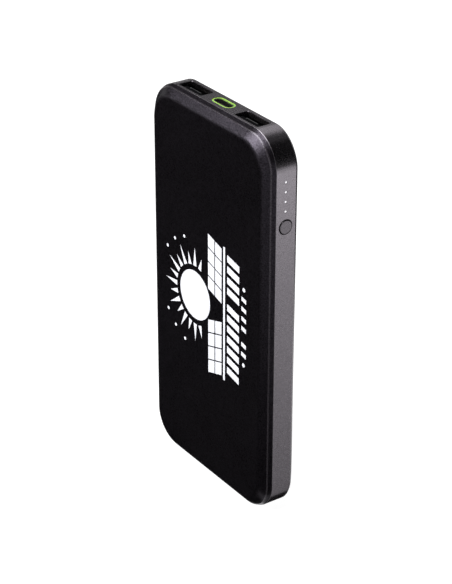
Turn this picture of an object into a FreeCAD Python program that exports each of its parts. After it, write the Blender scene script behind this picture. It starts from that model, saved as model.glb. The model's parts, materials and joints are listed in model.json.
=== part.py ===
import FreeCAD, Part
import math
import os

from FreeCAD import Vector

# Slim two-port power bank standing on its lower end.
# X runs across the width, +Y points to the rear cover, +Z points to the end with the sockets.
# The origin is the middle of the lower end.  All sizes are millimetres.

# ------------------------------------------------------------------ case
WIDTH = 68.0
HEIGHT = 139.0
DEPTH = 14.3
CORNER_RADIUS = 12.0
HALF_WIDTH = WIDTH / 2
FACE_Y = -DEPTH / 2
REAR_Y = DEPTH / 2

BEVEL_INSET = 3.3        # distance from the outline to the flat of each cover
FACE_CORNER_RADIUS = 10.4  # corners of the flat of each cover
COVER_EDGE_INSET = 0.65  # outline of the front cover's edge line
COVER_EDGE_Y = FACE_Y + 2.2
FRONT_SEAM_Y = FACE_Y + 3.6
REAR_CHAMFER_Y = FRONT_SEAM_Y + 7.7
REAR_CHAMFER_INSET = 0.52
REAR_SEAM_Y = REAR_CHAMFER_Y + 0.75
SEAM_BREAK = 0.2         # small broken edge on the frame beside the front cover
FACE_ROUNDING = 2.2
REAR_ROUNDING = 2.2
EDGE_ROUNDING = 0.5      # front cover's edge line

WALL = 1.7               # side frame and cover rims
SKIN = 1.2               # flat of each cover
INNER_KNEE = 0.35        # the covers' inner wall stays straight this far past the edge line
OVERCUT = 1.0            # cutting tools run this far past the faces they cut
TOUCH = 1e-4             # edges nearer than this to a plane lie in it
INNER_FLAT_INSET = 4.0
CAVITY_X = HALF_WIDTH - WALL
CAVITY_TOP = HEIGHT - WALL

# ------------------------------------------------------------------ cover snap tabs
TAB_WIDTH = 6.0
TAB_THICKNESS = 0.9
TAB_GAP = 0.05
TAB_REACH = 2.2
TAB_ROOT = 0.45
TAB_ROOT_BITE = 0.3
HOOK_DEPTH = 0.35
HOOK_HEIGHT = 0.7
HOOK_SHIFT = 0.3
POCKET_CLEARANCE = 0.1
SIDE_TAB_HEIGHTS = (22.0, 52.0, 82.0)
BOTTOM_TAB_X = (-12.0, 12.0)

# ------------------------------------------------------------------ sockets
PORT_Y = FACE_Y + 7.31
USB_A_SPACING = 31.9
USB_A_X = (-USB_A_SPACING / 2, USB_A_SPACING / 2)
USB_A_OPENING = (12.5, 5.0)
USB_A_INSIDE = (12.5, 5.12)
USB_A_SHEET = 0.3
USB_A_LENGTH = 13.4
USB_A_DROP = 0.05        # the shells' mouths stop this far below the top wall
USB_A_LEG_DROPS = (3.0, 9.0)
USB_A_LEAF_X = 3.0
USB_A_LEAF_DROP = 5.5
USB_A_LEAF_WINDOW = (2.6, 1.2, 6.0)
USB_A_LEAF = (1.8, 1.4, 6.0)
USB_A_LEAF_SHIFT = 0.3
USB_A_TONGUE = (11.1, 1.84)
USB_A_TONGUE_GAP = 0.9
USB_A_TONGUE_TIP = HEIGHT - 0.75
USB_A_BLOCK_LENGTH = 3.2
USB_A_CONTACT_X = (-3.5, -1.0, 1.0, 3.5)
USB_A_CONTACT = (1.0, 0.12)
USB_A_CONTACT_SETBACK = 0.9
USB_A_TAIL_DROP = 1.0
USB_A_FOOT = 1.2
USB_A_TIP_CHAMFER = 0.3
USB_A_PLATE = (6.0, 0.22)
USB_A_PLATE_TAB = (0.45, 0.5, 1.0)
USB_A_PLATE_LENGTH = 7.0
USB_A_PLATE_DEPTH = 0.35  # from the tongue's contact face to the middle of the plate
USB_A_PLATE_PROUD = 0.06
USB_A_LEG_X = 6.7
PORT_EDGE_RADIUS = 0.45
PORT_LEAD_IN = 0.2

USB_C_X = -0.5
USB_C_Y = PORT_Y + 0.3
USB_C_BEZEL_OUTSIDE = (10.2, 4.55)
USB_C_BEZEL_INSIDE = (9.2, 3.5)
USB_C_BEZEL_DEPTH = 2.2
USB_C_BEZEL_RECESS = 0.05
USB_C_BEZEL_CHAMFER = 0.12
USB_C_OUTSIDE = (8.94, 3.26)
USB_C_SHEET = 0.3
USB_C_LENGTH = 7.35
USB_C_MOUTH = HEIGHT - 0.25
USB_C_TONGUE = (6.7, 0.7)
USB_C_TONGUE_TIP = HEIGHT - 0.45
USB_C_TIP_CHAMFER = 0.12
USB_C_BLOCK_LENGTH = 1.8
USB_C_PITCH = 0.5
USB_C_CONTACTS_PER_SIDE = 12
USB_C_CONTACT = (0.26, 0.05)
USB_C_CONTACT_SETBACK = 0.2
RISER_HALF_WIDTH = 4.6
RISER_MARGIN = (0.6, 0.4)  # how far it passes the shell below and stops short of the board above
FIT_GAP = 0.02
ROUND_END_MARGIN = 1e-3  # keeps a short straight side between the two round ends

# ------------------------------------------------------------------ charge lights and button
SIDE_CONTROL_Y = FACE_Y + 7.5
LIGHT_TOP_Z = HEIGHT / 2 + 54.2
LIGHT_PITCH = 3.355
LIGHT_COUNT = 4
LIGHT_HEIGHTS = [LIGHT_TOP_Z - LIGHT_PITCH * i for i in range(LIGHT_COUNT)]
LIGHT_RADIUS = 0.38
LIGHT_HOLE_RADIUS = 0.5
LIGHT_RECESS = 0.12
LENS_ROUNDING = 0.15
LENS_ROOT = 0.3
GUIDE_X = 30.1
GUIDE_FRONT = 0.8        # from the lights' axis to the guide's front
GUIDE_BOARD_GAP = 0.25
GUIDE_OVERHANG = 1.6
LED_X = (28.2, 29.1)
LED_SIZE = (1.6, 0.9)    # along the row, and off the board
LED_WINDOW_X = (29.0, 29.4)
LED_WINDOW = (1.0, 0.15, 0.75)

BUTTON_Z = LIGHT_HEIGHTS[-1] - 5.3
BUTTON_RADIUS = 2.33
BUTTON_HOLE_RADIUS = 2.48
BUTTON_PROUD = 0.25
BUTTON_EDGE = 0.2
BUTTON_FLANGE_RADIUS = 3.1
BUTTON_FLANGE_THICKNESS = 0.8
BUTTON_FLANGE_GAP = 0.06
BUTTON_STEM_RADIUS = 1.0
BUTTON_ROOT = 0.2
CONTACT_GAP = 0.02

SWITCH_X = (25.0, 28.5)
SWITCH_HALF_LENGTH = 2.9
SWITCH_FRONT_Y = -1.2
PLUNGER_RADIUS = 1.0
PLUNGER_FIT = 0.05
PLUNGER_END_X = 29.6
PLUNGER_FLANGE_RADIUS = 1.55
PLUNGER_FLANGE_X = (26.3, 26.75)
CHAMBER_RADIUS = 1.85
CHAMBER_X = (25.5, 26.85)
DOME_RADIUS = 1.75
DOME_HEIGHT = 0.38
DOME_SHEET = 0.1
SWITCH_SKINS = (0.2, 0.3)     # walls left in front of and behind the chamber
MOVING_CLEARANCE = 0.05       # between the chamber's walls and what moves in it
TERMINAL_X = (26.0, 27.4)
TERMINAL_SIZE = (0.9, 0.2)

# ------------------------------------------------------------------ circuit board
BOARD_FRONT_Y = PORT_Y + USB_A_INSIDE[1] / 2 + USB_A_SHEET + 0.03
BOARD_THICKNESS = 1.0
BOARD_REAR_Y = BOARD_FRONT_Y + BOARD_THICKNESS
BOARD_HALF_WIDTH = 29.5
BOARD_Z = (105.0, 136.2)
BOARD_RADIUS = 7.0
SCREW_SPOTS = ((-22.0, 107.8), (22.0, 107.8), (-26.0, 128.0), (26.0, 128.0))
SCREW_RADIUS = 0.8
SCREW_HEAD = (1.6, 0.9)
SCREW_LENGTH = 6.0
DRIVE_SLOT = (0.45, 2.0, 0.4)
PILOT_CLEARANCE = 0.02
LEG_SIZE = (0.3, 1.2)
LEG_CLEARANCE = 0.15
LEG_STICK_OUT = 0.5
SCREW_HOLE_CLEARANCE = 0.1
SCREW_NECK = 0.1

INDUCTOR_HALF = 3.6
INDUCTOR_Y = (3.2, 0.1)       # front and back of the body, off the board
INDUCTOR_RADIUS = 1.2
INDUCTOR_WRAP = (1.6, 5.0, 0.4)
INDUCTOR_WRAP_X = 2.6
CAN_BASE = (6.6, 6.6, 0.9)
CAN_BASE_CHAMFER = 1.0
CAN_HEIGHT = 5.8
CAN_RADIUS = 3.15
CAN_ROUNDING = 0.3
CAN_GROOVE = (3.35, 0.4, 1.9)  # radius, section radius and distance off the board
CHIP_LEAD = (0.7, 0.35, 0.25)
CAPACITOR_ROWS = ((-17.0, 106.6), (-16.4, 120.0))
CAPACITORS_PER_ROW = 7
CAPACITOR_PITCH = 2.6
CAPACITOR_SIZE = (1.2, 2.0, 1.1)
RESISTOR_START = (20.2, 113.0)
RESISTOR_GRID = (3, 4)
RESISTOR_PITCH = (1.9, 2.2)
RESISTOR_SIZE = (0.8, 1.6, 0.45)
INDUCTORS = {"boost_inductor": (-10.0, 114.0), "charge_inductor": (0.0, 114.0)}
CAN_CAPACITORS = {"output_capacitor": (12.8, 110.6), "input_capacitor": (12.8, 118.4)}
# Each chip: place, size, leads per side, lead pitch, and whether it is on the rear of the board.
CHIPS = {
    "power_controller": ((-21.5, 116.5), (6.0, 8.0, 1.2), 8, 0.9, False),
    "port_controller": ((-4.0, 126.6), (3.9, 4.9, 1.3), 4, 1.1, False),
    "indicator_controller": ((8.0, 113.0), (3.9, 8.7, 1.2), 7, 1.1, True),
}

# ------------------------------------------------------------------ inner chassis
TRAY_HALF_WIDTH = 30.1
TRAY_WALL = 0.8
TRAY_BOTTOM = 5.4
TRAY_TOP = 104.0
TRAY_RADIUS = 5.5
TRAY_FRONT_Y = FACE_Y + SKIN + 0.35
TRAY_REAR_Y = 5.4
TRAY_TRIM = 10.0         # the tray's walls are drawn this much too tall and then cut level
FLOOR_THICKNESS = 0.8
FLOOR_HALF_WIDTH = 28.0
FLOOR_Z = (100.6, 133.0)
POST_RADIUS = 1.8
RIB_BITE = 0.2
PILOT_EXTRA = 0.5

# ------------------------------------------------------------------ battery
CELL_HALF_WIDTH = 29.0
CELL_THICKNESS = 5.2
CELL_Z = (6.6, 99.4)
CELL_RADIUS = 4.4
CELL_EDGE = 1.0
CELL_FRONT_Y = (-5.45, -0.05)
SEAL_THICKNESS = 0.3
SEAL_LENGTH = 3.0
SEAL_SETBACK = 1.5       # the seal starts this far in from the cell's sides and below its top
FOAM_HALF_WIDTH = 24.0
TAB_LEAD_X = (-15.0, 15.0)
TAB_LEAD = (4.0, 0.15)
PROTECTION_BOARD = (20.0, 0.8)
PROTECTION_Z = (101.8, 105.6)
PROTECTION_Y = -0.55
TAB_BEND_Z = 103.6
LEAD_RADIUS = 0.75
LEAD_BEND = 2.3
LEAD_START = 1.6         # below the protection board's top
LEAD_TURN = 3.2          # above the main board's foot
LEADS = {"battery_lead_positive": 6.0, "battery_lead_negative": 3.0}
MOSFET_X = (-4.0, 1.0)
MOSFET_WIDTH = 3.2
MOSFET_HEIGHT = 0.9
MOSFET_MARGIN = 0.5
BEAD_X = (18.0, 20.5)
BEAD_RADIUS = 0.6
BEAD_SHIFT = (1.0, 1.6)  # forward of the first cell's seal, and below its end
PAD_MARGIN = 8.0
TAPE_HALF_WIDTH = 22.0
SHEET_THICKNESS = 0.2
SHEET_HALF_WIDTH = 27.0
SHEET_LIFT = 4.0

PARTS = {}


# ------------------------------------------------------------------ shape helpers
def block(x_range, y_range, z_range):
    """Rectangular block between two limits on each axis."""
    size = [high - low for low, high in (x_range, y_range, z_range)]
    return Part.makeBox(*size, Vector(x_range[0], y_range[0], z_range[0]))


def centred(middle, size):
    """Rectangular block about a middle point."""
    ranges = [(c - s / 2, c + s / 2) for c, s in zip(middle, size)]
    return block(*ranges)


def rod_x(x_range, radius, y, z):
    """Round bar along X."""
    return Part.makeCylinder(radius, x_range[1] - x_range[0], Vector(x_range[0], y, z), Vector(1, 0, 0))


def rod_y(y_range, radius, x, z):
    """Round bar along Y."""
    return Part.makeCylinder(radius, y_range[1] - y_range[0], Vector(x, y_range[0], z), Vector(0, 1, 0))


def rounded_wire(low, high, radius, place):
    """Closed rectangle with round corners; place turns its two coordinates into a point."""
    (u0, v0), (u1, v1) = low, high
    diagonal = radius * (1 - math.sqrt(0.5))
    corners = ((u1, v0, -1, 1), (u1, v1, -1, -1), (u0, v1, 1, -1), (u0, v0, 1, 1))
    arcs = []
    for index, (u, v, in_u, in_v) in enumerate(corners):
        along_u = place(u + in_u * radius, v)
        along_v = place(u, v + in_v * radius)
        middle = place(u + in_u * diagonal, v + in_v * diagonal)
        ends = (along_u, along_v) if index % 2 == 0 else (along_v, along_u)
        arcs.append((ends[0], middle, ends[1]))
    edges = []
    for index, (start, middle, end) in enumerate(arcs):
        edges.append(Part.Arc(start, middle, end).toShape())
        following = arcs[(index + 1) % len(arcs)][0]
        if end.distanceToPoint(following) > TOUCH:
            edges.append(Part.makeLine(end, following))
    return Part.Wire(edges)


def outline(inset, y, radius=None):
    """The case outline, inset from its edge, at depth y; corners are concentric unless radius is given."""
    low = (-HALF_WIDTH + inset, inset)
    high = (HALF_WIDTH - inset, HEIGHT - inset)
    if radius is None:
        radius = CORNER_RADIUS - inset
    return rounded_wire(low, high, radius, lambda u, v: Vector(u, y, v))


def stack(*levels):
    """Solid through successive case outlines, each given as outline() takes it."""
    return Part.makeLoft([outline(*level) for level in levels], True, True)


def plate(x_range, y_range, z_range, radius):
    """Flat plate with round corners, thin along Y."""
    low = (x_range[0], z_range[0])
    high = (x_range[1], z_range[1])
    wire = rounded_wire(low, high, radius, lambda u, v: Vector(u, y_range[0], v))
    return Part.Face(wire).extrude(Vector(0, y_range[1] - y_range[0], 0))


def column(x, y, size, radius, z_range):
    """Bar along Z with a rounded rectangular section; a radius of half its depth makes a stadium."""
    low = (x - size[0] / 2, y - size[1] / 2)
    high = (x + size[0] / 2, y + size[1] / 2)
    wire = rounded_wire(low, high, radius, lambda u, v: Vector(u, v, z_range[0]))
    return Part.Face(wire).extrude(Vector(0, 0, z_range[1] - z_range[0]))


def flared(x, y, size, radius, z, grow):
    """Short funnel that opens by grow on every side over a rise of grow."""
    wires = []
    for step in (0, grow):
        low = (x - size[0] / 2 - step, y - size[1] / 2 - step)
        high = (x + size[0] / 2 + step, y + size[1] / 2 + step)
        height = z - grow + step
        wires.append(rounded_wire(low, high, radius + step, lambda u, v, h=height: Vector(u, v, h)))
    return Part.makeLoft(wires, True, True)


def round_edges(solid, radius, wanted):
    """Fillet the edges for which wanted(edge) is true."""
    return solid.makeFillet(radius, [edge for edge in solid.Edges if wanted(edge)])


def bevel_edges(solid, size, wanted):
    """Chamfer the edges for which wanted(edge) is true."""
    return solid.makeChamfer(size, [edge for edge in solid.Edges if wanted(edge)])


def lies_at_y(y):
    """Test for edges that lie wholly in the plane at depth y."""
    def test(edge):
        bounds = edge.BoundBox
        return abs(bounds.YMin - y) < TOUCH and abs(bounds.YMax - y) < TOUCH
    return test


def lies_at_x(x):
    """Test for edges that lie wholly in the plane at x."""
    def test(edge):
        bounds = edge.BoundBox
        return abs(bounds.XMin - x) < TOUCH and abs(bounds.XMax - x) < TOUCH
    return test


def lies_at_z(z):
    """Test for edges that lie wholly at height z."""
    def test(edge):
        bounds = edge.BoundBox
        return abs(bounds.ZMin - z) < TOUCH and abs(bounds.ZMax - z) < TOUCH
    return test


def together(shapes):
    """Join touching or overlapping shapes into one solid."""
    joined = shapes[0].fuse(shapes[1:]) if len(shapes) > 1 else shapes[0]
    return joined.removeSplitter()


def without(shape, cutters):
    """Cut every cutter out of a shape."""
    return shape.cut(cutters)


def keep(name, shape):
    """Record one finished piece, or a group of separate identical solids."""
    PARTS[name] = shape


# ------------------------------------------------------------------ covers and side frame
def hook_y_range(seam_y, inward, clearance=0.0):
    """Depth range of the hooks on the tabs of one cover; inward is the way the tabs point."""
    near = seam_y + inward * (TAB_REACH - HOOK_SHIFT - HOOK_HEIGHT)
    low, high = sorted((near, near + inward * HOOK_HEIGHT))
    return (low - clearance, high + clearance)


def snap_tabs(seam_y, inward):
    """Tabs that reach from a cover into the frame, each rooted in the rim and hooked outwards."""
    tip_y = seam_y + inward * TAB_REACH
    root_y = seam_y - inward * TAB_ROOT
    tab_y = tuple(sorted((root_y, tip_y)))
    bite_y = tuple(sorted((root_y, seam_y - inward * TAB_GAP)))
    steps = ((-TAB_GAP, tab_y), (TAB_ROOT_BITE, bite_y), (HOOK_DEPTH - TAB_GAP, hook_y_range(seam_y, inward)))
    inner = -TAB_GAP - TAB_THICKNESS
    tabs = []
    for reach, y_range in steps:
        for z in SIDE_TAB_HEIGHTS:
            z_range = (z - TAB_WIDTH / 2, z + TAB_WIDTH / 2)
            for side in (-1, 1):
                x_range = tuple(sorted((side * (CAVITY_X + inner), side * (CAVITY_X + reach))))
                tabs.append(block(x_range, y_range, z_range))
        for x in BOTTOM_TAB_X:
            x_range = (x - TAB_WIDTH / 2, x + TAB_WIDTH / 2)
            tabs.append(block(x_range, y_range, (WALL - reach, WALL - inner)))
    return tabs


def hook_pockets(seam_y, inward):
    """Pockets in the frame's inner wall that take the hooks of snap_tabs."""
    y_range = hook_y_range(seam_y, inward, POCKET_CLEARANCE)
    depth = HOOK_DEPTH + POCKET_CLEARANCE
    half = TAB_WIDTH / 2 + POCKET_CLEARANCE
    pockets = []
    for side in (-1, 1):
        x_range = tuple(sorted((side * (CAVITY_X - OVERCUT), side * (CAVITY_X + depth))))
        for z in SIDE_TAB_HEIGHTS:
            pockets.append(block(x_range, y_range, (z - half, z + half)))
    for x in BOTTOM_TAB_X:
        pockets.append(block((x - half, x + half), y_range, (WALL - depth, WALL + OVERCUT)))
    return pockets


def make_front_cover():
    """Bevelled front cover: flat face, sloping rim, edge line and a short sloping wall."""
    outside = stack((0, FRONT_SEAM_Y), (COVER_EDGE_INSET, COVER_EDGE_Y),
                    (BEVEL_INSET, FACE_Y, FACE_CORNER_RADIUS))
    outside = round_edges(outside, FACE_ROUNDING, lies_at_y(FACE_Y))
    outside = round_edges(outside, EDGE_ROUNDING, lies_at_y(COVER_EDGE_Y))
    knee_y = COVER_EDGE_Y + INNER_KNEE
    inside = stack((WALL, FRONT_SEAM_Y + OVERCUT), (WALL, knee_y), (INNER_FLAT_INSET, FACE_Y + SKIN))
    shell = without(outside, [inside])
    keep("front_cover", together([shell] + snap_tabs(FRONT_SEAM_Y, 1)))


def make_rear_cover():
    """Bevelled rear cover, seated on the chamfered rear edge of the frame."""
    outside = stack((REAR_CHAMFER_INSET, REAR_SEAM_Y), (BEVEL_INSET, REAR_Y, FACE_CORNER_RADIUS))
    outside = round_edges(outside, REAR_ROUNDING, lies_at_y(REAR_Y))
    inside = stack((WALL, REAR_SEAM_Y - OVERCUT), (WALL, REAR_SEAM_Y), (INNER_FLAT_INSET, REAR_Y - SKIN))
    shell = without(outside, [inside])
    keep("rear_cover", together([shell] + snap_tabs(REAR_SEAM_Y, -1)))


def port_cutters():
    """Openings in the top wall for the two large sockets and the small socket's bezel."""
    low, high = CAVITY_TOP - OVERCUT, HEIGHT + OVERCUT
    cutters = []
    for x in USB_A_X:
        cutters.append(column(x, PORT_Y, USB_A_OPENING, PORT_EDGE_RADIUS, (low, high)))
        cutters.append(flared(x, PORT_Y, USB_A_OPENING, PORT_EDGE_RADIUS, HEIGHT, PORT_LEAD_IN))
    bezel = [size + 2 * FIT_GAP for size in USB_C_BEZEL_OUTSIDE]
    cutters.append(stadium(bezel, (low, high)))
    return cutters


def side_control_cutters():
    """Holes in the right-hand wall for the four lights and the button."""
    through = (CAVITY_X - OVERCUT, HALF_WIDTH + OVERCUT)
    cutters = [rod_x(through, LIGHT_HOLE_RADIUS, SIDE_CONTROL_Y, z) for z in LIGHT_HEIGHTS]
    cutters.append(rod_x(through, BUTTON_HOLE_RADIUS, SIDE_CONTROL_Y, BUTTON_Z))
    mouth = Part.makeCone(BUTTON_HOLE_RADIUS, BUTTON_HOLE_RADIUS + SEAM_BREAK, SEAM_BREAK,
                          Vector(HALF_WIDTH - SEAM_BREAK, SIDE_CONTROL_Y, BUTTON_Z), Vector(1, 0, 0))
    cutters.append(mouth)
    return cutters


def make_side_frame():
    """Metal band round the case with the socket, light and button openings."""
    outside = stack((SEAM_BREAK, FRONT_SEAM_Y), (0, FRONT_SEAM_Y + SEAM_BREAK),
                    (0, REAR_CHAMFER_Y), (REAR_CHAMFER_INSET, REAR_SEAM_Y))
    inside = stack((WALL, FRONT_SEAM_Y - OVERCUT), (WALL, REAR_SEAM_Y + OVERCUT))
    cutters = [inside] + port_cutters() + side_control_cutters()
    cutters += hook_pockets(FRONT_SEAM_Y, 1)
    cutters += hook_pockets(REAR_SEAM_Y, -1)
    keep("side_frame", without(outside, cutters))


# ------------------------------------------------------------------ inner chassis
def make_chassis():
    """Moulded tray round the cells, a floor behind the front cover and posts for the board."""
    walls = plate((-TRAY_HALF_WIDTH, TRAY_HALF_WIDTH), (TRAY_FRONT_Y, TRAY_REAR_Y),
                  (TRAY_BOTTOM, TRAY_TOP + TRAY_TRIM), TRAY_RADIUS)
    inner_half = TRAY_HALF_WIDTH - TRAY_WALL
    hollow = plate((-inner_half, inner_half), (TRAY_FRONT_Y - OVERCUT, TRAY_REAR_Y + OVERCUT),
                   (TRAY_BOTTOM + TRAY_WALL, TRAY_TOP + TRAY_TRIM + OVERCUT), TRAY_RADIUS - TRAY_WALL)
    trim = block((-WIDTH, WIDTH), (-DEPTH, DEPTH), (TRAY_TOP, HEIGHT))
    tray = without(walls, [hollow, trim])
    floor_y = (TRAY_FRONT_Y, TRAY_FRONT_Y + FLOOR_THICKNESS)
    floor = plate((-FLOOR_HALF_WIDTH, FLOOR_HALF_WIDTH), floor_y, FLOOR_Z, TRAY_RADIUS)
    rib_half = inner_half + RIB_BITE
    rib = block((-rib_half, rib_half), floor_y, (FLOOR_Z[0], TRAY_TOP))
    posts = [rod_y((floor_y[0], BOARD_FRONT_Y), POST_RADIUS, x, z) for x, z in SCREW_SPOTS]
    pilot_y = (BOARD_REAR_Y - SCREW_LENGTH - PILOT_EXTRA, BOARD_FRONT_Y + OVERCUT)
    pilots = [rod_y(pilot_y, SCREW_RADIUS + PILOT_CLEARANCE, x, z) for x, z in SCREW_SPOTS]
    keep("inner_chassis", without(together([tray, floor, rib] + posts), pilots))


# ------------------------------------------------------------------ sockets
def usb_a_leg_spots(x):
    """Where the four legs of one large socket pass through the board."""
    spots = []
    for side in (-1, 1):
        for drop in USB_A_LEG_DROPS:
            spots.append((x + side * (USB_A_LEG_X - LEG_SIZE[0] / 2), CAVITY_TOP - drop))
    return spots


def make_usb_a_shell(name, x):
    """Folded sheet shell with two spring leaves on its front and four board legs."""
    sheet = USB_A_SHEET
    outside = [size + 2 * sheet for size in USB_A_INSIDE]
    z_range = (CAVITY_TOP - USB_A_LENGTH, CAVITY_TOP - USB_A_DROP)
    tube = column(x, PORT_Y, outside, PORT_EDGE_RADIUS + sheet, z_range)
    through = (z_range[0] - OVERCUT, z_range[1] + OVERCUT)
    hollow = column(x, PORT_Y, USB_A_INSIDE, PORT_EDGE_RADIUS, through)
    front = PORT_Y - outside[1] / 2
    slots = []
    for side in (-1, 1):
        leaf_x = x + side * USB_A_LEAF_X
        leaf_z = CAVITY_TOP - USB_A_LEAF_DROP
        window = centred((leaf_x, front, leaf_z), USB_A_LEAF_WINDOW)
        leaf = centred((leaf_x, front, leaf_z - USB_A_LEAF_SHIFT), USB_A_LEAF)
        slots.append(without(window, [leaf]))
    legs = []
    y_range = (PORT_Y, BOARD_REAR_Y + LEG_STICK_OUT)
    half_thickness, half_height = LEG_SIZE[0] / 2, LEG_SIZE[1] / 2
    for leg_x, z in usb_a_leg_spots(x):
        x_range = (leg_x - half_thickness, leg_x + half_thickness)
        legs.append(block(x_range, y_range, (z - half_height, z + half_height)))
    keep(name, together([without(tube, [hollow] + slots)] + legs))


def usb_a_tongue_y():
    """Depth range of the tongue, on the front side of the socket."""
    low = PORT_Y - USB_A_INSIDE[1] / 2 + USB_A_TONGUE_GAP
    return (low, low + USB_A_TONGUE[1])


def make_usb_a_insulator(name, x):
    """Moulded block that closes the back of the socket and carries the tongue."""
    bottom = CAVITY_TOP - USB_A_LENGTH
    block_size = [size - 2 * FIT_GAP for size in USB_A_INSIDE]
    base = column(x, PORT_Y, block_size, PORT_EDGE_RADIUS, (bottom, bottom + USB_A_BLOCK_LENGTH))
    y_low, y_high = usb_a_tongue_y()
    half = USB_A_TONGUE[0] / 2
    tongue = block((x - half, x + half), (y_low, y_high), (bottom + USB_A_BLOCK_LENGTH / 2, USB_A_TONGUE_TIP))
    tongue = bevel_edges(tongue, USB_A_TIP_CHAMFER, lies_at_z(USB_A_TONGUE_TIP))
    contact_width, contact_thickness = USB_A_CONTACT
    groove_half = contact_width / 2 + FIT_GAP
    groove_y = (y_high - contact_thickness / 2, y_high + contact_thickness / 2 + FIT_GAP)
    grooves = []
    for shift in USB_A_CONTACT_X:
        x_range = (x + shift - groove_half, x + shift + groove_half)
        grooves.append(block(x_range, groove_y, (bottom - OVERCUT, USB_A_TONGUE_TIP - USB_A_CONTACT_SETBACK)))
    keep(name, without(together([base, tongue]), grooves + [usb_a_plate(x)]))


def usb_a_plate(x):
    """Steel stiffener moulded into the tongue; its end and a small corner tab show at the tip."""
    middle_y = usb_a_tongue_y()[1] - USB_A_PLATE_DEPTH
    top = USB_A_TONGUE_TIP + USB_A_PLATE_PROUD
    width, thickness = USB_A_PLATE
    tab_width, tab_depth, tab_height = USB_A_PLATE_TAB
    x_range = (x - width / 2, x + width / 2)
    y_range = (middle_y - thickness / 2, middle_y + thickness / 2)
    sheet = block(x_range, y_range, (top - USB_A_PLATE_LENGTH, top))
    tab_y = (y_range[1] - tab_depth, y_range[1])
    tab = block((x_range[0], x_range[0] + tab_width), tab_y, (top - tab_height, top))
    return together([sheet, tab])


def make_usb_a_contacts(name, x):
    """Four spring contacts that lie in the tongue and bend down to the board at the back."""
    tail_z = CAVITY_TOP - USB_A_LENGTH - USB_A_TAIL_DROP
    y_high = usb_a_tongue_y()[1]
    thickness = USB_A_CONTACT[1]
    y_range = (y_high - thickness / 2, y_high + thickness / 2)
    strips = []
    for shift in USB_A_CONTACT_X:
        half = USB_A_CONTACT[0] / 2
        x_range = (x + shift - half, x + shift + half)
        strip = block(x_range, y_range, (tail_z, USB_A_TONGUE_TIP - USB_A_CONTACT_SETBACK))
        tail = block(x_range, (y_range[0], BOARD_FRONT_Y), (tail_z, tail_z + thickness))
        foot_y = (BOARD_FRONT_Y - thickness, BOARD_FRONT_Y)
        foot = block(x_range, foot_y, (tail_z - USB_A_FOOT, tail_z + thickness))
        strips.append(together([strip, tail, foot]))
    keep(name, Part.makeCompound(strips))


def stadium(size, z_range):
    """Bar along Z with fully round ends, centred on the small socket."""
    return column(USB_C_X, USB_C_Y, size, size[1] / 2 - ROUND_END_MARGIN, z_range)


def make_usb_c_bezel():
    """Coloured ring let into the top wall round the small socket."""
    top = HEIGHT - USB_C_BEZEL_RECESS
    z_range = (top - USB_C_BEZEL_DEPTH, top)
    ring = bevel_edges(stadium(USB_C_BEZEL_OUTSIDE, z_range), USB_C_BEZEL_CHAMFER, lies_at_z(top))
    mouth = stadium(USB_C_BEZEL_INSIDE, (z_range[0] - OVERCUT, z_range[1] + OVERCUT))
    keep("usb_c_bezel", without(ring, [mouth]))


def make_usb_c():
    """Small reversible socket: drawn shell, tongue block, contacts and riser."""
    shell_z = (USB_C_MOUTH - USB_C_LENGTH, USB_C_MOUTH)
    inside = [size - 2 * USB_C_SHEET for size in USB_C_OUTSIDE]
    hollow = stadium(inside, (shell_z[0] - OVERCUT, shell_z[1] + OVERCUT))
    keep("usb_c_shell", without(stadium(USB_C_OUTSIDE, shell_z), [hollow]))

    block_size = [size - 2 * FIT_GAP for size in inside]
    block_z = (shell_z[0], shell_z[0] + USB_C_BLOCK_LENGTH)
    half_x, half_y = USB_C_TONGUE[0] / 2, USB_C_TONGUE[1] / 2
    tongue_x = (USB_C_X - half_x, USB_C_X + half_x)
    tongue = block(tongue_x, (USB_C_Y - half_y, USB_C_Y + half_y), (block_z[0], USB_C_TONGUE_TIP))
    tongue = bevel_edges(tongue, USB_C_TIP_CHAMFER, lies_at_z(USB_C_TONGUE_TIP))
    keep("usb_c_insulator", together([stadium(block_size, block_z), tongue]))

    strips = []
    width, thickness = USB_C_CONTACT
    first_x = USB_C_X - USB_C_PITCH * (USB_C_CONTACTS_PER_SIDE - 1) / 2
    z_range = (block_z[1], USB_C_TONGUE_TIP - USB_C_CONTACT_SETBACK)
    for side in (-1, 1):
        y = USB_C_Y + side * (half_y + thickness / 2)
        y_range = (y - thickness / 2, y + thickness / 2)
        for index in range(USB_C_CONTACTS_PER_SIDE):
            x = first_x + USB_C_PITCH * index
            strips.append(block((x - width / 2, x + width / 2), y_range, z_range))
    keep("usb_c_contacts", Part.makeCompound(strips))

    riser_x = (USB_C_X - RISER_HALF_WIDTH, USB_C_X + RISER_HALF_WIDTH)
    riser_y = (USB_C_Y + USB_C_OUTSIDE[1] / 2, BOARD_FRONT_Y)
    riser_z = (shell_z[0] - RISER_MARGIN[0], BOARD_Z[1] - RISER_MARGIN[1])
    keep("usb_c_riser", block(riser_x, riser_y, riser_z))


# ------------------------------------------------------------------ lights, button and switch
def make_light_guide():
    """Clear bar inside the frame with four round lenses that stand in the light holes."""
    bar_x = (GUIDE_X, CAVITY_X - FIT_GAP)
    bar_y = (SIDE_CONTROL_Y - GUIDE_FRONT, BOARD_FRONT_Y - GUIDE_BOARD_GAP)
    bar = block(bar_x, bar_y, (LIGHT_HEIGHTS[-1] - GUIDE_OVERHANG, LIGHT_HEIGHTS[0] + GUIDE_OVERHANG))
    lens_x = (bar_x[1] - LENS_ROOT, HALF_WIDTH - LIGHT_RECESS)
    lenses = []
    for z in LIGHT_HEIGHTS:
        lens = rod_x(lens_x, LIGHT_RADIUS, SIDE_CONTROL_Y, z)
        lenses.append(round_edges(lens, LENS_ROUNDING, lies_at_x(lens_x[1])))
    keep("led_light_guide", together([bar] + lenses))


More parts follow.
